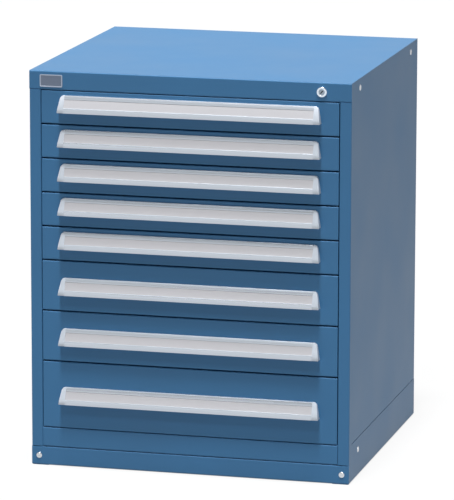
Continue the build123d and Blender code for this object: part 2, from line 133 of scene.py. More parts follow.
class CabinetColours(bpy.types.PropertyGroup):
    """Colour of each finish."""

    paint: FloatVectorProperty(
        name="Paint",
        description="Powder coat on all the sheet steel",
        subtype="COLOR",
        min=0,
        max=1,
        default=(0.047, 0.184, 0.380),
    )
    aluminium: FloatVectorProperty(
        name="Aluminium",
        description="Anodised handle extrusions",
        subtype="COLOR",
        min=0,
        max=1,
        default=(0.60, 0.655, 0.725),
    )
    label: FloatVectorProperty(
        name="Label strip",
        description="Blank card behind the clear cover in each handle",
        subtype="COLOR",
        min=0,
        max=1,
        default=(0.54, 0.54, 0.57),
    )
    plastic: FloatVectorProperty(
        name="End caps",
        description="Moulded caps on the handles' ends",
        subtype="COLOR",
        min=0,
        max=1,
        default=(0.62, 0.68, 0.76),
    )
    zinc: FloatVectorProperty(
        name="Zinc",
        description="Plated rails, uprights, carriages, screws and bolts",
        subtype="COLOR",
        min=0,
        max=1,
        default=(0.66, 0.69, 0.72),
    )
    chrome: FloatVectorProperty(
        name="Chrome",
        description="Ring of the lock",
        subtype="COLOR",
        min=0,
        max=1,
        default=(0.72, 0.80, 0.88),
    )
    nickel: FloatVectorProperty(
        name="Nickel",
        description="Face of the lock's plug",
        subtype="COLOR",
        min=0,
        max=1,
        default=(0.30, 0.36, 0.43),
    )
    # Painted shade: near-black in the key's slot, standing in for the shade on its unlit brass.
    keyway: FloatVectorProperty(
        name="Keyway",
        description="Unlit brass inside the key's slot",
        subtype="COLOR",
        min=0,
        max=1,
        default=(0.020, 0.022, 0.026),
    )
    nylon: FloatVectorProperty(
        name="Nylon",
        description="Guides of the lock bar, and the rollers",
        subtype="COLOR",
        min=0,
        max=1,
        default=(0.020, 0.021, 0.023),
    )
    plate: FloatVectorProperty(
        name="Nameplate",
        description="Rim of the bare plate on the header",
        subtype="COLOR",
        min=0,
        max=1,
        default=(0.40, 0.46, 0.56),
    )
    enamel: FloatVectorProperty(
        name="Plate field",
        description="Enamel inside the nameplate's rim",
        subtype="COLOR",
        min=0,
        max=1,
        default=(0.16, 0.20, 0.28),
    )


class CabinetSurfaces(bpy.types.PropertyGroup):
    """Grain, gloss and wear."""

    paint_roughness: FloatProperty(
        name="Paint roughness",
        description="Middle roughness of the powder coat",
        subtype="FACTOR",
        min=0,
        max=1,
        default=0.46,
    )
    peel: FloatProperty(
        name="Orange peel",
        description="Height of the powder coat's fine ripple",
        unit="LENGTH",
        min=0,
        default=0.00002,
    )
    aluminium_roughness: FloatProperty(
        name="Aluminium roughness",
        description="Middle roughness of the handles",
        subtype="FACTOR",
        min=0,
        max=1,
        default=0.30,
    )
    wear: FloatProperty(
        name="Wear",
        description="How far dust and rubbed places show",
        subtype="FACTOR",
        min=0,
        max=1,
        default=0.25,
    )


class CabinetSizes(bpy.types.PropertyGroup):
    """Sizes of the trim that the looks add or round off."""

    handle_top: FloatProperty(
        name="Handle top",
        description="How far the handle's top edge stands out from the drawer",
        unit="LENGTH",
        default=0.0045,
    )
    handle_lip: FloatProperty(
        name="Handle lip",
        description="Height of the upright lip at the handle's foot",
        unit="LENGTH",
        default=0.0105,
    )
    handle_wall: FloatProperty(
        name="Handle wall",
        description="Thickness of the handle's extrusion",
        unit="LENGTH",
        default=0.0022,
    )
    handle_leg: FloatProperty(
        name="Handle leg",
        description="Height of the leg that lies on the drawer's front",
        unit="LENGTH",
        default=0.0245,
    )
    groove_top: FloatProperty(
        name="Groove top",
        description="From the handle's top edge down to the label groove",
        unit="LENGTH",
        default=0.008,
    )
    groove_depth: FloatProperty(
        name="Groove depth",
        description="Depth of the label groove",
        unit="LENGTH",
        default=0.0012,
    )
    groove_lip: FloatProperty(
        name="Groove lip",
        description="How far the groove's edges reach over the label strip",
        unit="LENGTH",
        default=0.0009,
    )
    label_thickness: FloatProperty(
        name="Label thickness",
        description="Card and clear cover together",
        unit="LENGTH",
        default=0.0005,
    )
    cap_slope: FloatProperty(
        name="Cap slope",
        description="How far an end cap leans in towards its top",
        unit="LENGTH",
        default=0.0065,
    )
    cap_corner: FloatProperty(
        name="Cap corner",
        description="Rounding of an end cap's upper corner",
        unit="LENGTH",
        default=0.008,
    )
    cap_edge: FloatProperty(
        name="Cap edge",
        description="Rounding of an end cap's other edges",
        unit="LENGTH",
        default=0.0012,
    )
    metal_edge: FloatProperty(
        name="Metal edge",
        description="Rounding of the edges of handles, bars, runners and the nameplate",
        unit="LENGTH",
        default=0.0004,
    )
    shank_radius: FloatProperty(
        name="Shank radius",
        description="Radius of a screw's shank, and half the width of a bolt's neck",
        unit="LENGTH",
        default=0.003,
    )
    screw_slot: FloatProperty(
        name="Screw slot",
        description="Width of the driver slot",
        unit="LENGTH",
        default=0.0016,
    )
    screw_slot_depth: FloatProperty(
        name="Screw slot depth",
        description="Depth of the driver slot at the middle of the head",
        unit="LENGTH",
        default=0.0009,
    )
    plug_radius: FloatProperty(
        name="Plug radius",
        description="Radius of the lock's turning plug",
        unit="LENGTH",
        default=0.0065,
    )
    lock_flange: FloatProperty(
        name="Lock flange",
        description="How far the lock's ring stands out from the header",
        unit="LENGTH",
        default=0.0035,
    )
    keyway_width: FloatProperty(
        name="Keyway width",
        description="Width of the key's slot",
        unit="LENGTH",
        default=0.0022,
    )
    keyway_height: FloatProperty(
        name="Keyway height",
        description="Length of the key's slot across the plug",
        unit="LENGTH",
        default=0.009,
    )
    keyway_depth: FloatProperty(
        name="Keyway depth",
        description="How deep the key's slot goes",
        unit="LENGTH",
        default=0.006,
    )
    keyway_turn: FloatProperty(
        name="Keyway turn",
        description="Turn of the key's slot from the upright, towards the right",
        subtype="ANGLE",
        default=math.radians(40),
    )
    plate_rim: FloatProperty(
        name="Plate rim",
        description="Width of the raised rim round the nameplate",
        unit="LENGTH",
        default=0.0022,
    )
    plate_field: FloatProperty(
        name="Plate field",
        description="How deep the nameplate's field lies under its rim",
        unit="LENGTH",
        default=0.0006,
    )
    plate_corner: FloatProperty(
        name="Plate corner",
        description="Rounding of the nameplate's corners",
        unit="LENGTH",
        default=0.003,
    )
    tray_sheet: FloatProperty(
        name="Tray sheet",
        description="Thickness of a drawer tray's sheet",
        unit="LENGTH",
        default=0.0012,
    )
    tray_rim: FloatProperty(
        name="Tray rim",
        description="Width of the rim turned out along a tray's sides",
        unit="LENGTH",
        default=0.005,
    )
    slot_width: FloatProperty(
        name="Divider slot",
        description="Width of each slot for a divider in a tray's sides",
        unit="LENGTH",
        default=0.007,
    )
    slot_pitch: FloatProperty(
        name="Slot pitch",
        description="From one divider slot to the next",
        unit="LENGTH",
        default=0.017,
    )
    slot_margin: FloatProperty(
        name="Slot margin",
        description="From a tray's floor and rim to its divider slots",
        unit="LENGTH",
        default=0.014,
    )
    rail_sheet: FloatProperty(
        name="Runner sheet",
        description="Thickness of the runners on a tray's sides",
        unit="LENGTH",
        default=0.002,
    )


class CabinetStudio(bpy.types.PropertyGroup):
    """Floor, light and camera."""

    floor_size: FloatProperty(
        name="Floor size",
        description="Length of each side of the floor",
        unit="LENGTH",
        default=60.0,
    )
    floor_colour: FloatVectorProperty(
        name="Floor",
        description="What the floor reflects onto the cabinet",
        subtype="COLOR",
        min=0,
        max=1,
        default=(0.36, 0.36, 0.36),
    )
    floor_glow: FloatProperty(
        name="Floor glow",
        description="How much of the floor's white doesn't depend on the light",
        subtype="FACTOR",
        min=0,
        max=1,
        default=0.86,
    )
    floor_shadow: FloatProperty(
        name="Floor shadow",
        description="How strongly the cabinet's shadow shows on the white floor",
        subtype="FACTOR",
        min=0,
        max=1,
        default=0.09,
    )
    ambient: FloatProperty(
        name="Ambient light",
        description="Light from all round",
        min=0,
        default=0.09,
    )
    overhead: FloatProperty(
        name="Overhead lamp",
        description="Brightness that the lamp straight above gives a white surface",
        min=0,
        default=0.62,
    )
    high: FloatProperty(
        name="High front lamp",
        description="Brightness that the high front lamp gives a white surface",
        min=0,
        default=0.85,
    )
    front: FloatProperty(
        name="Front lamp",
        description="Brightness that the front lamp gives a white surface",
        min=0,
        default=0.16,
    )
    sky_gloss: FloatProperty(
        name="Sky in gloss",
        description="Brightness of the sky high above, as glossy surfaces show it",
        subtype="FACTOR",
        min=0,
        max=1,
        default=0.28,
    )
    floor_gloss: FloatProperty(
        name="Far floor in gloss",
        description="Brightness of the floor far behind the cabinet, as glossy surfaces show it",
        subtype="FACTOR",
        min=0,
        max=1,
        default=0.62,
    )
    camera_place: FloatVectorProperty(
        name="Camera",
        description="Where the camera stands",
        subtype="TRANSLATION",
        unit="LENGTH",
        default=(2.4513, -9.49425, 2.4472),
    )
    camera_heading: FloatProperty(
        name="Heading",
        description="Turn of the camera about the vertical",
        subtype="ANGLE",
        default=math.radians(14.477),
    )
    camera_dip: FloatProperty(
        name="Dip",
        description="How far the camera looks down",
        subtype="ANGLE",
        default=math.radians(11.434),
    )
    camera_roll: FloatProperty(
        name="Roll",
        description="Turn of the camera about its line of sight",
        subtype="ANGLE",
        default=math.radians(0.105),
    )
    camera_lens: FloatProperty(
        name="Lens",
        description="Focal length in millimetres on a 36 mm sensor",
        subtype="DISTANCE_CAMERA",
        default=302.4,
    )


def add_node(tree, kind, cell, **settings):
    """One node, laid out by its column and row."""
    column, row = cell
    node = tree.nodes.new(kind)
    node.location = (220 * column, -280 * row)
    for setting, value in settings.items():
        setattr(node, setting, value)
    return node


def noise(tree, vector, scale, detail, cell):
    """Noise between 0 and 1 over the given coordinates."""
    node = add_node(tree, "ShaderNodeTexNoise", cell)
    node.inputs["Scale"].default_value = scale
    node.inputs["Detail"].default_value = detail
    tree.links.new(vector, node.inputs["Vector"])
    return node.outputs["Fac"]


def remap(tree, value, span, new_span, cell):
    """Stretch a value from one span to another, clamped at both ends."""
    node = add_node(tree, "ShaderNodeMapRange", cell)
    labels = ("From Min", "From Max", "To Min", "To Max")
    for label, number in zip(labels, (*span, *new_span)):
        node.inputs[label].default_value = number
    tree.links.new(value, node.inputs["Value"])
    return node.outputs["Result"]


def combined(tree, operation, first, second, cell):
    """Two values put together, such as their product or the higher of them."""
    node = add_node(tree, "ShaderNodeMath", cell, operation=operation)
    tree.links.new(first, node.inputs[0])
    tree.links.new(second, node.inputs[1])
    return node.outputs["Value"]


def mixed(tree, mask, first, second, cell):
    """One colour turning into another where the mask rises. Each may be a colour or a socket."""
    node = add_node(tree, "ShaderNodeMix", cell, data_type="RGBA")
    tree.links.new(mask, node.inputs["Factor"])
    # Its colour sockets share their names with those for numbers, so they are taken by place.
    for socket, colour in ((node.inputs[6], first), (node.inputs[7], second)):
        if isinstance(colour, bpy.types.NodeSocket):
            tree.links.new(colour, socket)
        else:
            socket.default_value = (*colour, 1)
    return node.outputs[2]


def shade(colour, factor):
    """A colour made lighter or darker."""
    return [min(1.0, channel * factor) for channel in colour]


def start_group(name, outputs):
    """A group of shader nodes that takes coordinates and gives the named values."""
    group = bpy.data.node_groups.new(name, "ShaderNodeTree")
    group.interface.new_socket("Vector", in_out="INPUT", socket_type="NodeSocketVector")
    for label in outputs:
        group.interface.new_socket(label, in_out="OUTPUT", socket_type="NodeSocketFloat")
    source = add_node(group, "NodeGroupInput", (-1, 0))
    sink = add_node(group, "NodeGroupOutput", (6, 0))
    return group, source.outputs["Vector"], sink.inputs


def peel_group():
    """Powder coat: a fine ripple, and slow cloudy changes in its colour."""
    group, place, result = start_group("orange_peel", ["Ripple", "Cloud"])
    group.links.new(noise(group, place, 420, 2, (0, 0)), result["Ripple"])
    cloud = noise(group, place, 5, 3, (0, 1))
    group.links.new(remap(group, cloud, (0.3, 0.7), (0, 1), (2, 1)), result["Cloud"])
    return group


def wear_group():
    """Dust that settles on level faces, and sparse rubbed specks that come in patches."""
    group, place, result = start_group("dust_and_rubs", ["Dust", "Rub"])
    surface = add_node(group, "ShaderNodeNewGeometry", (-1, 2))
    split = add_node(group, "ShaderNodeSeparateXYZ", (0, 2))
    group.links.new(surface.outputs["Normal"], split.inputs["Vector"])
    level = remap(group, split.outputs["Z"], (0.6, 1.0), (0, 1), (1, 2))
    drift = remap(group, noise(group, place, 9, 6, (0, 0)), (0.35, 0.75), (0.2, 1.0), (1, 0))
    group.links.new(combined(group, "MULTIPLY", level, drift, (2, 0)), result["Dust"])
    specks = remap(group, noise(group, place, 240, 5, (0, 3)), (0.66, 0.74), (0, 1), (1, 3))
    patches = remap(group, noise(group, place, 7, 2, (0, 4)), (0.5, 0.68), (0, 1), (1, 4))
    group.links.new(combined(group, "MULTIPLY", specks, patches, (2, 3)), result["Rub"])
    return group


def grain_group():
    """Long fine lines left by drawing or brushing. The vector's scale sets which way they run."""
    group, place, result = start_group("drawn_grain", ["Lines", "Streaks"])
    group.links.new(noise(group, place, 1.0, 4, (0, 0)), result["Lines"])
    wide = noise(group, place, 0.12, 2, (0, 1))
    group.links.new(remap(group, wide, (0.35, 0.65), (0, 1), (1, 1)), result["Streaks"])
    return group


def pebble_group():
    """Moulded plastic: a fine pebbled skin and faint flow marks."""
    group, place, result = start_group("moulded_skin", ["Pebbles", "Flow"])
    group.links.new(noise(group, place, 1600, 2, (0, 0)), result["Pebbles"])
    flow = noise(group, place, 45, 3, (0, 1))
    group.links.new(remap(group, flow, (0.3, 0.7), (0, 1), (1, 1)), result["Flow"])
    return group


GROUPS = {
    "orange_peel": peel_group,
    "dust_and_rubs": wear_group,
    "drawn_grain": grain_group,
    "moulded_skin": pebble_group,
}


def effect(tree, name, vector, cell):
    """A shared effect placed in a material, with its outputs."""
    node = add_node(tree, "ShaderNodeGroup", cell)
    node.node_tree = bpy.data.node_groups.get(name) or GROUPS[name]()
    tree.links.new(vector, node.inputs["Vector"])
    return node.outputs


def start_finish(name, metallic=0.0):
    """A new material with its shader, and the object's own coordinates."""
    material = bpy.data.materials.new(name)
    material.use_nodes = True
    tree = material.node_tree
    tree.nodes.clear()
    output = add_node(tree, "ShaderNodeOutputMaterial", (9, 0))
    shader = add_node(tree, "ShaderNodeBsdfPrincipled", (7, 0))
    shader.inputs["Metallic"].default_value = metallic
    tree.links.new(shader.outputs["BSDF"], output.inputs["Surface"])
    place = add_node(tree, "ShaderNodeTexCoord", (-3, 0))
    return material, tree, shader.inputs, place.outputs["Object"]


def stretched(tree, vector, scale, cell):
    """Coordinates scaled by a different amount along each axis."""
    node = add_node(tree, "ShaderNodeMapping", cell)
    node.inputs["Scale"].default_value = scale
    tree.links.new(vector, node.inputs["Vector"])
    return node.outputs["Vector"]


def set_surface(tree, shader, colour, mask, roughness, span=(0, 1)):
    """Give the shader its colour, and a roughness that follows the mask over a span."""
    tree.links.new(colour, shader["Base Color"])
    tree.links.new(remap(tree, mask, span, roughness, (3, 1)), shader["Roughness"])


def bump(tree, height, distance, shader):
    """Turn a height into the shader's normal."""
    node = add_node(tree, "ShaderNodeBump", (4, 2))
    node.inputs["Distance"].default_value = distance
    tree.links.new(height, node.inputs["Height"])
    tree.links.new(node.outputs["Normal"], shader["Normal"])


def powder_paint(scene):
    """Blue powder coat over sheet steel."""
    colour, looks = scene.cabinet_colours.paint, scene.cabinet_surfaces
    material, tree, shader, place = start_finish("powder_paint")
    peel = effect(tree, "orange_peel", place, (-1, 0))
    wear = effect(tree, "dust_and_rubs", place, (-1, 1))
    base = mixed(tree, peel["Cloud"], shade(colour, 0.97), shade(colour, 1.03), (1, 0))
    dust = remap(tree, wear["Dust"], (0, 1), (0, 0.05 * looks.wear), (1, 1))
    rub = remap(tree, wear["Rub"], (0, 1), (0, 0.35 * looks.wear), (1, 2))
    base = mixed(tree, dust, base, DUST_COLOUR, (3, 0))
    base = mixed(tree, rub, base, shade(colour, 1.9), (4, 0))
    middle = looks.paint_roughness
    set_surface(tree, shader, base, peel["Cloud"], (middle - 0.03, middle + 0.03))
    shader["Specular IOR Level"].default_value = 0.40
    bump(tree, peel["Ripple"], looks.peel, shader)
    return material


def satin_extrusion(scene):
    """Satin extrusion with die lines along X."""
    colour, looks = scene.cabinet_colours.aluminium, scene.cabinet_surfaces
    material, tree, shader, place = start_finish("satin_extrusion", metallic=0.7)
    along = stretched(tree, place, (4, 700, 700), (-2, 0))
    grain = effect(tree, "drawn_grain", along, (-1, 0))
    skin = effect(tree, "orange_peel", place, (-1, 1))
    base = mixed(tree, grain["Lines"], shade(colour, 0.93), shade(colour, 1.07), (1, 0))
    base = mixed(tree, skin["Cloud"], base, shade(colour, 1.02), (3, 0))
    middle = looks.aluminium_roughness
    set_surface(tree, shader, base, grain["Streaks"], (middle - 0.05, middle + 0.06))
    bump(tree, grain["Lines"], LINE_HEIGHT, shader)
    return material


def label_card(scene):
    """Blank card under a clear cover."""
    colour = scene.cabinet_colours.label
    material, tree, shader, place = start_finish("label_card")
    fibre = effect(tree, "moulded_skin", place, (-1, 0))
    base = mixed(tree, fibre["Pebbles"], shade(colour, 0.96), shade(colour, 1.04), (1, 0))
    base = mixed(tree, fibre["Flow"], base, shade(colour, 0.98), (3, 0))
    set_surface(tree, shader, base, fibre["Flow"], (0.50, 0.58))
    shader["Coat Weight"].default_value = 0.5
    shader["Coat Roughness"].default_value = 0.12
    return material


def moulded_plastic(scene):
    """Pale caps with a fine pebbled skin."""
    colour = scene.cabinet_colours.plastic
    material, tree, shader, place = start_finish("moulded_plastic")
    skin = effect(tree, "moulded_skin", place, (-1, 0))
    base = mixed(tree, skin["Flow"], shade(colour, 0.96), shade(colour, 1.03), (1, 0))
    set_surface(tree, shader, base, skin["Pebbles"], (0.38, 0.52), span=(0.3, 0.7))
    bump(tree, skin["Pebbles"], PEBBLE_HEIGHT, shader)
    return material


def zinc_plating(scene):
    """Zinc plate with cloudy patches and rolling lines."""
    colour, looks = scene.cabinet_colours.zinc, scene.cabinet_surfaces
    material, tree, shader, place = start_finish("zinc_plating", metallic=1.0)
    along = stretched(tree, place, (500, 12, 500), (-2, 2))
    peel = effect(tree, "orange_peel", place, (-1, 0))
    wear = effect(tree, "dust_and_rubs", place, (-1, 1))
    grain = effect(tree, "drawn_grain", along, (-1, 2))
    base = mixed(tree, peel["Cloud"], shade(colour, 0.88), shade(colour, 1.08), (1, 0))
    base = mixed(tree, grain["Lines"], base, shade(colour, 0.97), (3, 0))
    dull = remap(tree, wear["Rub"], (0, 1), (0, looks.wear), (1, 1))
    base = mixed(tree, dull, base, shade(colour, 0.6), (4, 0))
    set_surface(tree, shader, base, grain["Streaks"], (0.28, 0.42))
    bump(tree, grain["Lines"], LINE_HEIGHT, shader)
    return material


def chromed_brass(scene):
    """Chrome with the faint cloudy marks of fingers."""
    colour = scene.cabinet_colours.chrome
    material, tree, shader, place = start_finish("chromed_brass", metallic=1.0)
    skin = effect(tree, "moulded_skin", place, (-1, 0))
    base = mixed(tree, skin["Flow"], shade(colour, 0.96), shade(colour, 1.04), (1, 0))
    set_surface(tree, shader, base, skin["Flow"], (0.14, 0.24))
    return material


def nickel_face(scene):
    """Nickel plate, duller than the chrome round it and scratched by keys."""
    colour, looks = scene.cabinet_colours.nickel, scene.cabinet_surfaces
    material, tree, shader, place = start_finish("nickel_face", metallic=1.0)
    skin = effect(tree, "moulded_skin", place, (-1, 0))
    wear = effect(tree, "dust_and_rubs", place, (-1, 1))
    base = mixed(tree, skin["Flow"], shade(colour, 0.92), shade(colour, 1.06), (1, 0))
    rub = remap(tree, wear["Rub"], (0, 1), (0, looks.wear), (1, 1))
    base = mixed(tree, rub, base, shade(colour, 1.6), (3, 0))
    set_surface(tree, shader, base, skin["Flow"], (0.26, 0.36))
    return material


def keyway_shade(scene):
    """Painted shade: near-black inside the key's slot, in place of its unlit brass."""
    colour = scene.cabinet_colours.keyway
    material, tree, shader, place = start_finish("keyway_shade")
    skin = effect(tree, "moulded_skin", place, (-1, 0))
    base = mixed(tree, skin["Flow"], shade(colour, 0.7), shade(colour, 1.5), (1, 0))
    set_surface(tree, shader, base, skin["Pebbles"], (0.6, 0.75), span=(0.3, 0.7))
    return material


def dark_nylon(scene):
    """Dark moulded nylon."""
    colour = scene.cabinet_colours.nylon
    material, tree, shader, place = start_finish("dark_nylon")
    skin = effect(tree, "moulded_skin", place, (-1, 0))
    base = mixed(tree, skin["Flow"], shade(colour, 0.8), shade(colour, 1.4), (1, 0))
    set_surface(tree, shader, base, skin["Pebbles"], (0.42, 0.58), span=(0.3, 0.7))
    bump(tree, skin["Pebbles"], PEBBLE_HEIGHT, shader)
    return material


def brushed_plate(scene):
    """Nameplate, brushed along X."""
    colour = scene.cabinet_colours.plate
    material, tree, shader, place = start_finish("brushed_plate", metallic=0.7)
    along = stretched(tree, place, PLATE_BRUSHING, (-2, 0))
    grain = effect(tree, "drawn_grain", along, (-1, 0))
    base = mixed(tree, grain["Lines"], shade(colour, 0.85), shade(colour, 1.15), (1, 0))
    set_surface(tree, shader, base, grain["Streaks"], (0.28, 0.42))
    bump(tree, grain["Lines"], LINE_HEIGHT, shader)
    return material


def plate_enamel(scene):
    """Field of the nameplate, left blank."""
    colour = scene.cabinet_colours.enamel
    material, tree, shader, place = start_finish("plate_enamel", metallic=0.3)
    along = stretched(tree, place, PLATE_BRUSHING, (-2, 0))
    grain = effect(tree, "drawn_grain", along, (-1, 0))
    base = mixed(tree, grain["Lines"], shade(colour, 0.88), shade(colour, 1.12), (1, 0))
    set_surface(tree, shader, base, grain["Streaks"], (0.32, 0.40))
    return material


FINISHES = {
    "powder_paint": powder_paint,
    "satin_extrusion": satin_extrusion,
    "label_card": label_card,
    "moulded_plastic": moulded_plastic,
    "zinc_plating": zinc_plating,
    "chromed_brass": chromed_brass,
    "nickel_face": nickel_face,
    "keyway_shade": keyway_shade,
    "dark_nylon": dark_nylon,
    "brushed_plate": brushed_plate,
    "plate_enamel": plate_enamel,
}


def finish(scene, name):
    """The finish of that name, made the first time that it is asked for."""
    return bpy.data.materials.get(name) or FINISHES[name](scene)


def refinish(scene, node, name):
    """Give a CAD node that keeps its shape its finish."""
    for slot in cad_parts[node].material_slots:
        slot.material = finish(scene, name)


def make_piece(scene, bm, name, body, node, finishes):
    """Close a bmesh into a piece that rides on its body and stands for its CAD node."""
    bmesh.ops.remove_doubles(bm, verts=bm.verts, dist=SAME_PLACE / 10)
    bmesh.ops.recalc_face_normals(bm, faces=bm.faces)
    mesh = bpy.data.meshes.new(name)
    bm.to_mesh(mesh)
    bm.free()
    mesh.shade_smooth()
    mesh.set_sharp_from_angle(angle=CREASE_ANGLE)
    for each in finishes:
        mesh.materials.append(finish(scene, each))
    piece = bpy.data.objects.new(name, mesh)
    scene.collection.objects.link(piece)
    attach(piece, body)
    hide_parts(node)


def drawer_piece(scene, bm, number, name, node, look):
    """A piece with one finish that rides on its drawer."""
    make_piece(scene, bm, f"drawer_{number}_{name}", f"drawer_{number}", node, [look])


def rectangle(left, right, bottom, top):
    """Corners of a rectangle, in the plane of two axes."""
    return [(left, bottom), (right, bottom), (right, top), (left, top)]


def scaled(section, across, tall):
    """A section given in shares, at its real width and height."""
    return [(across * share, tall * height) for share, height in section]


def centre_of(low, high, **given):
    """The middle of a box, but for the coordinates that are given."""
    halfway = {axis: (getattr(low, axis) + getattr(high, axis)) / 2 for axis in "xyz"}
    return Vector([*(halfway | given).values()])


def facing(place, outward):
    """Stand something made about the upright axis at a place, with its top turned outward."""
    return Matrix.Translation(place) @ outward.to_track_quat("Z", "Y").to_matrix().to_4x4()


def push_new(bm, grown, step):
    """Move the corners that an extrusion added, and list them."""
    moved = [part for part in grown if isinstance(part, bmesh.types.BMVert)]
    bmesh.ops.translate(bm, verts=moved, vec=step)
    return moved


def sweep_faces(bm, faces, step):
    """Sweep faces into a solid, and list those at its far end."""
    grown = bmesh.ops.extrude_face_region(bm, geom=faces)["geom"]
    push_new(bm, grown, step)
    return [part for part in grown if isinstance(part, bmesh.types.BMFace)]


def sweep_edges(bm, edges, step):
    """Sweep edges into a wall, and list those at its far side."""
    grown = bmesh.ops.extrude_edge_only(bm, edges=edges)["geom"]
    moved = push_new(bm, grown, step)
    swept = [part for part in grown if isinstance(part, bmesh.types.BMEdge)]
    return [edge for edge in swept if all(vert in moved for vert in edge.verts)]


def drawn_out(bm, corners, axis, length):
    """A flat outline drawn out along an axis into a closed solid, whose edges are listed."""
    kept = set(bm.edges)
    outline = bm.faces.new([bm.verts.new(corner) for corner in corners])
    sweep_faces(bm, [outline], axis * length)
    bmesh.ops.recalc_face_normals(bm, faces=bm.faces)
    return [edge for edge in bm.edges if edge not in kept]


def turned(bm, profile, steps):
    """A profile of radii and heights turned about the upright axis at the origin."""
    kept = set(bm.verts)
    line = [bm.verts.new((radius, 0, up)) for radius, up in profile]
    edges = [bm.edges.new(pair) for pair in zip(line, line[1:])]
    bmesh.ops.spin(
        bm,
        geom=line + edges,
        axis=UPWARD,
        cent=(0, 0, 0),
        angle=math.tau,
        steps=steps,
        use_merge=True,
    )
    fresh = [vert for vert in bm.verts if vert not in kept]
    bmesh.ops.remove_doubles(bm, verts=fresh, dist=SAME_PLACE)
    return [vert for vert in bm.verts if vert not in kept]


def cut_flat(bm, kept, place, outward):
    """Cut away what lies past a plane and close the cut, leaving the parts that are kept whole."""
    cut = bmesh.ops.bisect_plane(
        bm,
        geom=[part for part in (*bm.verts, *bm.edges, *bm.faces) if part not in kept],
        plane_co=place,
        plane_no=outward,
        clear_outer=True,
    )["geom_cut"]
    rim = [part for part in cut if isinstance(part, bmesh.types.BMEdge)]
    bmesh.ops.edgeloop_fill(bm, edges=rim)


def lying_along(edges, axis):
    """Those of the edges that lie along an axis."""
    lines = ((edge, edge.verts[1].co - edge.verts[0].co) for edge in edges)
    return [edge for edge, line in lines if abs(line.normalized().dot(axis)) > 0.999]


def sharp_edges(edges):
    """Those of the edges where two faces meet at a sharp angle."""
    return [edge for edge in edges if edge.is_manifold and edge.calc_face_angle(0) > SHARP_ANGLE]


def round_off(bm, parts, radius, segments, affect="EDGES"):
    """Round the given edges or corners."""
    bmesh.ops.bevel(
        bm,
        geom=parts,
        affect=affect,
        offset=radius,
        segments=segments,
        profile=0.5,
        material=-1,
        clamp_overlap=True,
    )


def solids(node):
    """Box of each separate solid of a CAD node, from small to large and then from left to right."""
    bm = bmesh.new()
    bm.from_mesh(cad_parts[node].data)
    bmesh.ops.remove_doubles(bm, verts=bm.verts, dist=SAME_PLACE)
    waiting, boxes = set(bm.verts), []
    while waiting:
        joined = [waiting.pop()]
        # The list grows while it is read, until it holds the whole solid.
        for vert in joined:
            near = {edge.other_vert(vert) for edge in vert.link_edges} & waiting
            waiting -= near
            joined.extend(near)
        low = Vector(min(vert.co[axis] for vert in joined) for axis in range(3))
        high = Vector(max(vert.co[axis] for vert in joined) for axis in range(3))
        boxes.append((low, high))
    bm.free()
    # Like solids differ by rounding alone, so sizes are compared to 0.01 mm.
    return sorted(boxes, key=lambda box: (round((box[1] - box[0]).length, 5), *box[0]))


class CABINET_OT_studio(bpy.types.Operator):
    """Stand the cabinet on a white floor in soft light, seen from the photograph's angle"""

    bl_idname = "cabinet.studio"
    bl_label = "Studio"

    def execute(self, context):
        scene, studio = context.scene, context.scene.cabinet_studio
        scene.view_settings.view_transform = "Standard"
        add_camera(scene, studio)
        add_floor(scene, studio)
        light_world(scene, studio)
        for name, setting, height in LAMPS:
            add_lamp(scene, name, getattr(studio, setting), height)
        return {"FINISHED"}


def add_camera(scene, studio):
    """A long lens, far off, as the photograph was taken."""
    data = bpy.data.cameras.new("camera")
    data.sensor_width = 36
    data.lens = studio.camera_lens
    data.clip_end = 200
    camera = bpy.data.objects.new("camera", data)
    heading = Matrix.Rotation(studio.camera_heading, 4, "Z")
    dip = Matrix.Rotation(math.radians(90) - studio.camera_dip, 4, "X")
    roll = Matrix.Rotation(studio.camera_roll, 4, "Z")
    camera.matrix_world = Matrix.Translation(studio.camera_place) @ heading @ dip @ roll
    scene.collection.objects.link(camera)
    scene.camera = camera


def seen_rays(tree):
    """1 for rays that the camera, gloss or glass sends, and 0 for the rest."""
    rays = add_node(tree, "ShaderNodeLightPath", (-3, 1)).outputs
    seen = combined(tree, "MAXIMUM", rays["Is Camera Ray"], rays["Is Glossy Ray"], (-2, 1))
    return combined(tree, "MAXIMUM", seen, rays["Is Transmission Ray"], (-1, 1))


def dimmed_in_gloss(tree, place, axis, span, brightness):
    """1, falling to a lower brightness over a span of an axis, but for glossy rays only."""
    split = add_node(tree, "ShaderNodeSeparateXYZ", (-3, 6))
    tree.links.new(place, split.inputs["Vector"])
    dim = remap(tree, split.outputs[axis], span, (1, brightness), (-2, 6))
    glossy = add_node(tree, "ShaderNodeLightPath", (-3, 7)).outputs["Is Glossy Ray"]
    other = remap(tree, glossy, (0, 1), (1, 0), (-2, 7))
    return combined(tree, "MAXIMUM", dim, other, (-1, 6))


def outside_painted_shade(tree):
    """0 on the floor under the cabinet, where its glow gives way to painted shade, and 1 beside it.
    """
    low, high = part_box("right_base_skirt")
    middle, half = (low.y + high.y) / 2, (high.y - low.y) / 2
    place = add_node(tree, "ShaderNodeTexCoord", (-5, 3))
    shift = add_node(tree, "ShaderNodeMapping", (-4, 3))
    shift.inputs["Location"].default_value = (0, -middle, 0)
    split = add_node(tree, "ShaderNodeSeparateXYZ", (-3, 3))
    tree.links.new(place.outputs["Object"], shift.inputs["Vector"])
    tree.links.new(shift.outputs["Vector"], split.inputs["Vector"])
    outside = []
    for row, (axis, reach) in enumerate((("X", high.x), ("Y", half)), start=3):
        size = add_node(tree, "ShaderNodeMath", (-2, row), operation="ABSOLUTE")
        tree.links.new(split.outputs[axis], size.inputs[0])
        edge = (reach - PAINTED_SHADE_BLEND, reach)
        outside.append(remap(tree, size.outputs["Value"], edge, (0, 1), (-1, row)))
    return combined(tree, "MAXIMUM", *outside, (0, 3))


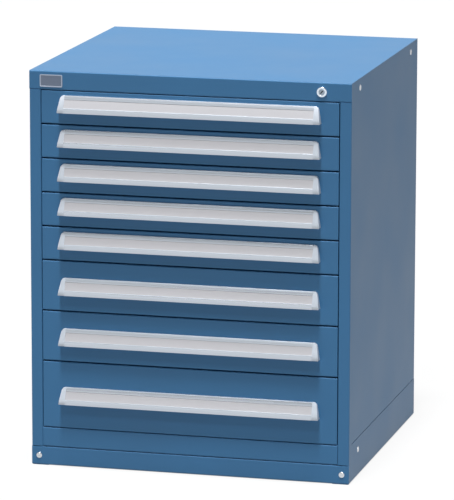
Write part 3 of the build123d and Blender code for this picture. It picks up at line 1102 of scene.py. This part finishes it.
def add_floor(scene, studio):
    """A floor that looks white and still takes the cabinet's shadow. Under the cabinet it has no
    glow: painted shade that darkens the gaps at the cabinet's foot.
    """
    bm = bmesh.new()
    bmesh.ops.create_grid(bm, x_segments=1, y_segments=1, size=studio.floor_size / 2)
    mesh = bpy.data.meshes.new("floor")
    bm.to_mesh(mesh)
    bm.free()
    material = bpy.data.materials.new("floor")
    material.use_nodes = True
    tree = material.node_tree
    tree.nodes.clear()
    output = add_node(tree, "ShaderNodeOutputMaterial", (5, 0))
    choice = add_node(tree, "ShaderNodeMixShader", (4, 0))
    matt = add_node(tree, "ShaderNodeBsdfDiffuse", (2, 1))
    shaded = add_node(tree, "ShaderNodeBsdfDiffuse", (2, 2))
    glow = add_node(tree, "ShaderNodeEmission", (2, 3))
    white = add_node(tree, "ShaderNodeAddShader", (3, 2))
    matt.inputs["Color"].default_value = (*studio.floor_colour, 1)
    shaded.inputs["Color"].default_value = (*[studio.floor_shadow] * 3, 1)
    # Painted shade: no glow on the floor under the cabinet, so it shows dark through gaps at the
    # foot.
    glow_outside_shade = remap(tree, outside_painted_shade(tree), (0, 1), (0, studio.floor_glow), (1, 3))
    place = add_node(tree, "ShaderNodeTexCoord", (-4, 6)).outputs["Object"]
    dim = dimmed_in_gloss(tree, place, "Y", FLOOR_DIMMING, studio.floor_gloss)
    strength = combined(tree, "MULTIPLY", glow_outside_shade, dim, (2, 4))
    tree.links.new(strength, glow.inputs["Strength"])
    tree.links.new(shaded.outputs["BSDF"], white.inputs[0])
    tree.links.new(glow.outputs["Emission"], white.inputs[1])
    tree.links.new(seen_rays(tree), choice.inputs["Fac"])
    tree.links.new(matt.outputs["BSDF"], choice.inputs[1])
    tree.links.new(white.outputs["Shader"], choice.inputs[2])
    tree.links.new(choice.outputs["Shader"], output.inputs["Surface"])
    mesh.materials.append(material)
    floor = bpy.data.objects.new("floor", mesh)
    scene.collection.objects.link(floor)


def light_world(scene, studio):
    """White where it is seen, and a plain soft light everywhere else."""
    world = bpy.data.worlds.new("studio")
    world.use_nodes = True
    tree = world.node_tree
    tree.nodes.clear()
    output = add_node(tree, "ShaderNodeOutputWorld", (2, 0))
    sky = add_node(tree, "ShaderNodeBackground", (1, 0))
    sky.inputs["Color"].default_value = (1, 1, 1, 1)
    ambient = remap(tree, seen_rays(tree), (0, 1), (studio.ambient, 1), (0, 1))
    place = add_node(tree, "ShaderNodeTexCoord", (-4, 6)).outputs["Generated"]
    dim = dimmed_in_gloss(tree, place, "Z", SKY_DIMMING, studio.sky_gloss)
    strength = combined(tree, "MULTIPLY", ambient, dim, (1, 2))
    tree.links.new(strength, sky.inputs["Strength"])
    tree.links.new(sky.outputs["Background"], output.inputs["Surface"])
    scene.world = world


def add_lamp(scene, name, strength, height):
    """A distant lamp in front of the cabinet at so many degrees above the floor."""
    data = bpy.data.lights.new(name, "SUN")
    data.energy = strength * math.pi
    data.angle = LAMP_SPREAD
    lamp = bpy.data.objects.new(name, data)
    lamp.rotation_euler = (math.radians(90 - height), 0, 0)
    lamp.location = LAMP_PLACE
    scene.collection.objects.link(lamp)


class CABINET_OT_painted_steel(bpy.types.Operator):
    """Powder-coat the housing, the base and the drawer fronts"""

    bl_idname = "cabinet.painted_steel"
    bl_label = "Painted steel"

    def execute(self, context):
        for node in PAINTED:
            refinish(context.scene, node, "powder_paint")
        for number in range(1, DRAWERS + 1):
            refinish(context.scene, f"drawer_{number}_front", "powder_paint")
        return {"FINISHED"}


class CABINET_OT_plated_steel(bpy.types.Operator):
    """Finish the rails, the uprights, the lock bar and its guides inside the housing"""

    bl_idname = "cabinet.plated_steel"
    bl_label = "Plated steel"

    def execute(self, context):
        for node in ZINC_PLATED:
            refinish(context.scene, node, "zinc_plating")
        refinish(context.scene, "lock_bar_guides", "dark_nylon")
        return {"FINISHED"}


class CABINET_OT_fasteners(bpy.types.Operator):
    """Turn the base cover's slotted screws and the sides' round-headed bolts"""

    bl_idname = "cabinet.fasteners"
    bl_label = "Screws and bolts"

    def execute(self, context):
        scene, sizes = context.scene, context.scene.cabinet_sizes
        for name, node, add in (
            ("cover_screws", "base_cover_screws", add_screw),
            ("housing_bolts", "side_bolts", add_bolt),
        ):
            bm = bmesh.new()
            for low, high in solids(node):
                add(bm, sizes, low, high)
            make_piece(scene, bm, name, "housing", node, ["zinc_plating"])
        return {"FINISHED"}


def add_screw(bm, sizes, low, high):
    """A screw through the front, with a domed head that a driver slot crosses."""
    place = centre_of(low, high, y=PANEL_FRONT)
    radius, tall, shank = (high.x - low.x) / 2, PANEL_FRONT - low.y, sizes.shank_radius
    tip = PANEL_FRONT - high.y
    profile = scaled(DOMED_HEAD, radius, tall) + [(shank, 0), (shank, tip), (0, tip)]
    half, slot_floor = sizes.screw_slot / 2, tall - sizes.screw_slot_depth
    # The screw is made of what lies on one side of the slot, on the other and under it.
    for cuts in (
        [((0, half, 0), -BACKWARD)],
        [((0, -half, 0), BACKWARD)],
        [((0, half, 0), BACKWARD), ((0, -half, 0), -BACKWARD), ((0, 0, slot_floor), UPWARD)],
    ):
        kept = {*bm.verts, *bm.edges, *bm.faces}
        turned(bm, profile, 40)
        for point, outward in cuts:
            cut_flat(bm, kept, point, outward)
        fresh = [vert for vert in bm.verts if vert not in kept]
        bmesh.ops.transform(bm, matrix=facing(place, -BACKWARD), verts=fresh)


def add_bolt(bm, sizes, low, high):
    """A bolt through a side, with a domed head and a square neck."""
    side = 1 if low.x > 0 else -1
    inner, outer = sorted((abs(low.x), abs(high.x)))
    place = centre_of(low, high, x=side * PANEL_SIDE)
    tall, radius = outer - abs(place.x), (high.z - low.z) / 2
    head = turned(bm, [*scaled(DOMED_HEAD, radius, tall), (0, 0)], 32)
    bmesh.ops.transform(bm, matrix=facing(place, side * ACROSS), verts=head)
    half = sizes.shank_radius
    corners = [place + Vector((0, y, z)) for y, z in rectangle(-half, half, -half, half)]
    drawn_out(bm, corners, -side * ACROSS, abs(place.x) - inner)


class CABINET_OT_lock(bpy.types.Operator):
    """Turn the lock's chromed ring, and the plug with its keyway"""

    bl_idname = "cabinet.lock"
    bl_label = "Lock"

    def execute(self, context):
        scene, sizes = context.scene, context.scene.cabinet_sizes
        ring, plug = bmesh.new(), bmesh.new()
        low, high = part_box("lock_barrel")
        place = centre_of(low, high, y=PANEL_FRONT)
        turned(ring, ring_profile(sizes, (high.x - low.x) / 2, high.y - PANEL_FRONT), 64)
        bmesh.ops.transform(ring, matrix=facing(place, -BACKWARD), verts=ring.verts)
        low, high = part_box("lock_plug")
        place.y = low.y
        cut_keyway(plug, sizes, high.y - low.y)
        bmesh.ops.transform(plug, matrix=facing(place, -BACKWARD), verts=plug.verts)
        for bm, name, body, node, looks in (
            (ring, "lock_ring", "housing", "lock_barrel", ["chromed_brass"]),
            (plug, "keyed_plug", "lock", "lock_plug", ["nickel_face", "keyway_shade"]),
        ):
            make_piece(scene, bm, name, body, node, looks)
        return {"FINISHED"}


def ring_profile(sizes, outer, length):
    """Section of the lock's fixed ring: a rolled flange, a dished face and a sleeve behind."""
    bore, sleeve = sizes.plug_radius * LOCK_BORE_SHARE, outer * LOCK_SLEEVE_SHARE
    face = scaled(RING_FACE, outer - bore, sizes.lock_flange)
    return [
        (bore, -length),
        *((bore + across, up) for across, up in face),
        (outer, 0),
        (sleeve, 0),
        (sleeve, -length),
        (bore, -length),
    ]


def cut_keyway(bm, sizes, length):
    """The plug, from its face backwards, with the key's slot sunk into it."""
    centre = (0, 0, 0)
    sides = 24
    rim = bmesh.ops.create_circle(bm, segments=2 * sides, radius=sizes.plug_radius)["verts"]
    slot = bmesh.ops.create_circle(bm, segments=sides, radius=sizes.keyway_width / 2)["verts"]
    # Half a side's turn leaves no corner on the line where the circle is parted.
    half_side = Matrix.Rotation(math.pi / sides, 3, "Z")
    bmesh.ops.rotate(bm, verts=slot, cent=centre, matrix=half_side)
    reach = (sizes.keyway_height - sizes.keyway_width) / 2
    for sign in (-1, 1):
        half = [vert for vert in slot if vert.co.y * sign > 0]
        bmesh.ops.translate(bm, verts=half, vec=BACKWARD * sign * reach)
    turn = Matrix.Rotation(-sizes.keyway_turn, 3, "Z")
    bmesh.ops.rotate(bm, verts=slot, cent=centre, matrix=turn)
    loops = [[edge for edge in bm.edges if edge.verts[0] in ring] for ring in (rim, slot)]
    bmesh.ops.bridge_loops(bm, edges=loops[0] + loops[1])
    # The slot's walls and floor take the second finish, the near-black painted shade.
    for edges, depth, look in zip(loops, (length, sizes.keyway_depth), (0, 1)):
        before = set(bm.faces)
        foot = sweep_edges(bm, edges, -UPWARD * depth)
        bmesh.ops.edgeloop_fill(bm, edges=foot)
        for face in bm.faces:
            if face not in before:
                face.material_index = look


class CABINET_OT_nameplate(bpy.types.Operator):
    """Press the bare nameplate, with a raised rim round its field"""

    bl_idname = "cabinet.nameplate"
    bl_label = "Nameplate"

    def execute(self, context):
        scene, sizes = context.scene, context.scene.cabinet_sizes
        low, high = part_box("nameplate")
        bm = bmesh.new()
        back = rectangle(low.x, high.x, low.z, high.z)
        bm.faces.new([bm.verts.new((x, high.y, z)) for x, z in back])
        round_off(bm, list(bm.verts), sizes.plate_corner, 5, "VERTICES")
        face = sweep_faces(bm, list(bm.faces), BACKWARD * (low.y - high.y))
        bmesh.ops.recalc_face_normals(bm, faces=bm.faces)
        edge = sizes.metal_edge
        # The rounded edge, the rim, the step down to the field and the field's own edge.
        for width, rise in (
            (edge, edge / 2),
            (sizes.plate_rim - 2 * edge, 0),
            (edge, -sizes.plate_field),
            (edge, 0),
        ):
            bmesh.ops.inset_region(bm, faces=face, thickness=width, depth=rise)
        bmesh.ops.translate(bm, verts=bm.verts, vec=BACKWARD * edge / 2)
        for each in face:
            each.material_index = 1
        looks = ["brushed_plate", "plate_enamel"]
        make_piece(scene, bm, "header_plate", "housing", "nameplate", looks)
        return {"FINISHED"}


class CABINET_OT_trays(bpy.types.Operator):
    """Fold each drawer's tray with its divider slots, and hang its runners and catch on it"""

    bl_idname = "cabinet.trays"
    bl_label = "Drawer trays"

    def execute(self, context):
        scene, sizes = context.scene, context.scene.cabinet_sizes
        for number in range(1, DRAWERS + 1):
            node = f"drawer_{number}_tray"
            catch, *runners, shell = solids(node)
            bm = bmesh.new()
            fold_tray(bm, sizes, *shell)
            for low, high in runners:
                draw_runner(bm, sizes, low, high)
            press_catch(bm, sizes, *catch)
            drawer_piece(scene, bm, number, "pan", node, "powder_paint")
        return {"FINISHED"}


def fold_tray(bm, sizes, low, high):
    """Floor, slotted sides and turned-out rims from one sheet, with an end let in front and back."""
    sheet = sizes.tray_sheet
    side, under = high.x - sizes.tray_rim, high.z - sheet
    slot_low, slot_high = low.z + sizes.slot_margin, high.z - sizes.slot_margin
    right = [(side, low.z), (side, slot_low), (side, slot_high), (side, under), (high.x, under)]
    line = [(-x, z) for x, z in reversed(right)] + right
    verts = [bm.verts.new((x, low.y, z)) for x, z in line]
    edges = [bm.edges.new(pair) for pair in zip(verts, verts[1:])]
    slots = int((high.y - low.y - sizes.slot_pitch) // sizes.slot_pitch)
    land = sizes.slot_pitch - sizes.slot_width
    end = (high.y - low.y - slots * sizes.slot_pitch + land) / 2
    steps = [end, sizes.slot_width] + [land, sizes.slot_width] * (slots - 1) + [end]
    openings = []
    for step, length in enumerate(steps):
        edges = sweep_edges(bm, edges, BACKWARD * length)
        if step % 2:
            for face in {face for edge in edges for face in edge.link_faces}:
                middle = face.calc_center_median()
                if abs(abs(middle.x) - side) < sheet and slot_low < middle.z < slot_high:
                    openings.append(face)
    bmesh.ops.delete(bm, geom=openings, context="FACES_ONLY")
    bmesh.ops.recalc_face_normals(bm, faces=bm.faces)
    floor = next(face for face in bm.faces if face.calc_center_median().z < low.z + SAME_PLACE)
    if floor.normal.z > 0:
        bmesh.ops.reverse_faces(bm, faces=bm.faces)
    bmesh.ops.solidify(bm, geom=list(bm.faces), thickness=sheet)
    inner = side - sheet
    for y in (low.y, high.y - sheet):
        corners = [(x, y, z) for x, z in rectangle(-inner, inner, low.z + sheet, high.z)]
        drawn_out(bm, corners, BACKWARD, sheet)


def draw_runner(bm, sizes, low, high):
    """A channel along a tray's side, open away from the tray, with softened edges."""
    web, mouth = sorted((low.x, high.x), key=abs)
    sheet = sizes.rail_sheet
    inside = web + math.copysign(sheet, low.x)
    points = [
        (mouth, low.z),
        (web, low.z),
        (web, high.z),
        (mouth, high.z),
        (mouth, high.z - sheet),
        (inside, high.z - sheet),
        (inside, low.z + sheet),
        (mouth, low.z + sheet),
    ]
    edges = drawn_out(bm, [(x, low.y, z) for x, z in points], BACKWARD, high.y - low.y)
    round_off(bm, lying_along(edges, BACKWARD), sizes.metal_edge, 2)


def press_catch(bm, sizes, low, high):
    """The catch that the lock's finger holds, with a rounded outer end."""
    outline = rectangle(low.x, high.x, low.y, high.y)
    edges = drawn_out(bm, [(x, y, low.z) for x, y in outline], UPWARD, high.z - low.z)
    tips = [edge for edge in edges if min(vert.co.x for vert in edge.verts) > high.x - SAME_PLACE]
    round_off(bm, tips, 3 * sizes.metal_edge, 4)


class CABINET_OT_carriages(bpy.types.Operator):
    """Stamp the carriage bars, and turn the nylon rollers on them"""

    bl_idname = "cabinet.carriages"
    bl_label = "Carriages"

    def execute(self, context):
        scene, sizes = context.scene, context.scene.cabinet_sizes
        for number in range(1, DRAWERS + 1):
            node, body = f"drawer_{number}_carriages", f"carriage_{number}"
            *wheels, left, right = solids(node)
            bars, rollers = bmesh.new(), bmesh.new()
            for low, high in (left, right):
                stamp_bar(bars, sizes, low, high)
            for low, high in wheels:
                outside = abs(low.x + high.x) > abs(right[0].x + right[1].x)
                turn_roller(rollers, low, high, outside)
            for bm, name, look, slot in (
                (bars, "bars", "zinc_plating", "bright_zinc"),
                (rollers, "rollers", "dark_nylon", "black_nylon"),
            ):
                make_piece(scene, bm, f"drawer_{number}_{name}", body, node, [look])
        return {"FINISHED"}


def stamp_bar(bm, sizes, low, high):
    """A flat bar with rounded ends."""
    kept = set(bm.edges)
    outline = rectangle(low.y, high.y, low.z, high.z)
    edges = drawn_out(bm, [(low.x, y, z) for y, z in outline], ACROSS, high.x - low.x)
    round_off(bm, lying_along(edges, ACROSS), (high.z - low.z) * BAR_END_SHARE, 6)
    rims = sharp_edges(edge for edge in bm.edges if edge not in kept)
    round_off(bm, rims, sizes.metal_edge, 1)


def turn_roller(bm, low, high, outside):
    """A roller with a raised tread and a hub, whose open side faces away from its bar."""
    outward = ACROSS if (low.x > 0) == outside else -ACROSS
    place = centre_of(low, high, x=low.x if outward.x > 0 else high.x)
    radius = ROLLER_SHARE * (high.z - low.z)
    wheel = turned(bm, scaled(ROLLER_SECTION, radius, high.x - low.x), 20)
    bmesh.ops.transform(bm, matrix=facing(place, outward), verts=wheel)


class CABINET_OT_handles(bpy.types.Operator):
    """Draw out each drawer's handle, with rounded edges and lips over the label groove"""

    bl_idname = "cabinet.handles"
    bl_label = "Handles"

    def execute(self, context):
        scene, sizes = context.scene, context.scene.cabinet_sizes
        for number in range(1, DRAWERS + 1):
            node = f"drawer_{number}_handle"
            low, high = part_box(node)
            bm = bmesh.new()
            corners = [(low.x, y, z) for y, z in handle_corners(sizes, low, high)]
            edges = drawn_out(bm, corners, ACROSS, high.x - low.x)
            round_off(bm, lying_along(edges, ACROSS), sizes.metal_edge, 2)
            drawer_piece(scene, bm, number, "pull", node, "satin_extrusion")
        return {"FINISHED"}


def handle_corners(sizes, low, high):
    """Corners of the handle's section, from the back over the top and round inside."""
    tall, wall, lip = high.z - low.z, sizes.handle_wall, sizes.handle_lip
    groove_high, groove_low = tall - sizes.groove_top, lip + wall / 2
    mouth_high, mouth_low = groove_high - sizes.groove_lip, groove_low + sizes.groove_lip
    shelf, bottom = sizes.groove_depth * GROOVE_LIP_SHARE, sizes.groove_depth
    inner, inner_top = bottom + wall, tall - sizes.handle_leg / 2
    leg_y = high.y - wall
    groove = [
        (mouth_high, 0),
        (mouth_high, shelf),
        (groove_high, shelf),
        (groove_high, bottom),
        (groove_low, bottom),
        (groove_low, shelf),
        (mouth_low, shelf),
        (mouth_low, 0),
    ]
    return [
        (high.y, high.z),
        (high.y - sizes.handle_top, high.z),
        *(on_face(sizes, low, high, up, depth) for up, depth in groove),
        (low.y, low.z + lip),
        (low.y, low.z),
        (low.y + wall, low.z),
        (low.y + wall, low.z + lip - wall / 2),
        on_face(sizes, low, high, lip + wall, inner),
        on_face(sizes, low, high, inner_top, inner),
        (leg_y, low.z + inner_top),
        (leg_y, high.z - sizes.handle_leg),
        (high.y, high.z - sizes.handle_leg),
    ]


def on_face(sizes, low, high, up, depth):
    """A point so far up the handle and so deep under its sloping face, in Y and Z."""
    slope = handle_slope(sizes, low, high)
    reach = (high.y - low.y) - (up - sizes.handle_lip) * math.tan(slope)
    return high.y - reach + depth * math.cos(slope), low.z + up - depth * math.sin(slope)


def handle_slope(sizes, low, high):
    """Slope of a handle's face from the upright."""
    lean = (high.y - low.y) - sizes.handle_top
    return math.atan2(lean, (high.z - low.z) - sizes.handle_lip)


class CABINET_OT_labels(bpy.types.Operator):
    """Slide a blank label strip into each handle's groove"""

    bl_idname = "cabinet.labels"
    bl_label = "Label strips"

    def execute(self, context):
        scene, sizes = context.scene, context.scene.cabinet_sizes
        play = sizes.groove_lip / 3
        foot = sizes.handle_lip + sizes.handle_wall / 2 + play
        back = sizes.groove_depth
        face = back - sizes.label_thickness
        for number in range(1, DRAWERS + 1):
            low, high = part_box(f"drawer_{number}_handle")
            top = (high.z - low.z) - sizes.groove_top - play
            section = [(top, face), (top, back), (foot, back), (foot, face)]
            corners = [(low.x, *on_face(sizes, low, high, up, depth)) for up, depth in section]
            bm = bmesh.new()
            drawn_out(bm, corners, ACROSS, high.x - low.x)
            node = f"drawer_{number}_handle_trim"
            drawer_piece(scene, bm, number, "label", node, "label_card")
        return {"FINISHED"}


class CABINET_OT_end_caps(bpy.types.Operator):
    """Close both ends of each handle with a moulded cap"""

    bl_idname = "cabinet.end_caps"
    bl_label = "End caps"

    def execute(self, context):
        scene, sizes = context.scene, context.scene.cabinet_sizes
        for number in range(1, DRAWERS + 1):
            node = f"drawer_{number}_handle_trim"
            low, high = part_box(node)
            bm = bmesh.new()
            mould_cap(bm, sizes, low, high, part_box(f"drawer_{number}_handle")[1].x)
            right = [*bm.verts, *bm.edges, *bm.faces]
            bmesh.ops.mirror(bm, geom=right, axis="X", merge_dist=0)
            drawer_piece(scene, bm, number, "end_caps", node, "moulded_plastic")
        return {"FINISHED"}


def mould_cap(bm, sizes, low, high, inner):
    """Right-hand cap: its outline from the front with a rounded corner, cut back along the face."""
    shoulder = bm.verts.new((high.x - sizes.cap_slope, high.y, high.z))
    outline = [
        bm.verts.new((inner, high.y, low.z)),
        bm.verts.new((high.x, high.y, low.z)),
        shoulder,
        bm.verts.new((inner, high.y, high.z)),
    ]
    bm.faces.new(outline)
    round_off(bm, [shoulder], sizes.cap_corner, 8, "VERTICES")
    sweep_faces(bm, list(bm.faces), BACKWARD * (low.y - high.y))
    slope = handle_slope(sizes, low, high)
    shoulder_top = (0, high.y - sizes.handle_top, high.z)
    cut_flat(bm, (), shoulder_top, (0, -math.cos(slope), math.sin(slope)))
    bmesh.ops.recalc_face_normals(bm, faces=bm.faces)
    past_handle, before_front = inner + SAME_PLACE, high.y - SAME_PLACE
    outer = [
        edge
        for edge in sharp_edges(bm.edges)
        if max(vert.co.x for vert in edge.verts) > past_handle
        and min(vert.co.y for vert in edge.verts) < before_front
    ]
    round_off(bm, outer, sizes.cap_edge, 3)


class CABINET_PT_panel(bpy.types.Panel):
    """Everything that makes up the cabinet's looks"""

    bl_label = "Drawer cabinet"
    bl_idname = "CABINET_PT_panel"
    bl_space_type = "VIEW_3D"
    bl_region_type = "UI"
    bl_category = "Cabinet"

    def draw(self, context):
        layout = self.layout
        for operator in OPERATORS:
            layout.operator(operator.bl_idname)
        for title, name in SETTINGS.items():
            box = layout.box()
            box.label(text=title)
            settings = getattr(context.scene, name)
            for entry in settings.__annotations__:
                box.prop(settings, entry)


SETTINGS = {
    "Colours": "cabinet_colours",
    "Surfaces": "cabinet_surfaces",
    "Sizes": "cabinet_sizes",
    "Studio": "cabinet_studio",
}
GROUPED = (CabinetColours, CabinetSurfaces, CabinetSizes, CabinetStudio)
OPERATORS = (
    CABINET_OT_studio,
    CABINET_OT_painted_steel,
    CABINET_OT_plated_steel,
    CABINET_OT_fasteners,
    CABINET_OT_lock,
    CABINET_OT_nameplate,
    CABINET_OT_trays,
    CABINET_OT_carriages,
    CABINET_OT_handles,
    CABINET_OT_labels,
    CABINET_OT_end_caps,
)


def register():
    for each in (*GROUPED, *OPERATORS, CABINET_PT_panel):
        bpy.utils.register_class(each)
    for name, group in zip(SETTINGS.values(), GROUPED):
        setattr(bpy.types.Scene, name, PointerProperty(type=group))


def unregister():
    for name in SETTINGS.values():
        delattr(bpy.types.Scene, name)
    for each in reversed((*GROUPED, *OPERATORS, CABINET_PT_panel)):
        bpy.utils.unregister_class(each)


def main():
    register()
    for operator in OPERATORS:
        getattr(bpy.ops.cabinet, operator.bl_idname.removeprefix("cabinet."))()


if __name__ == "__main__":
    main()
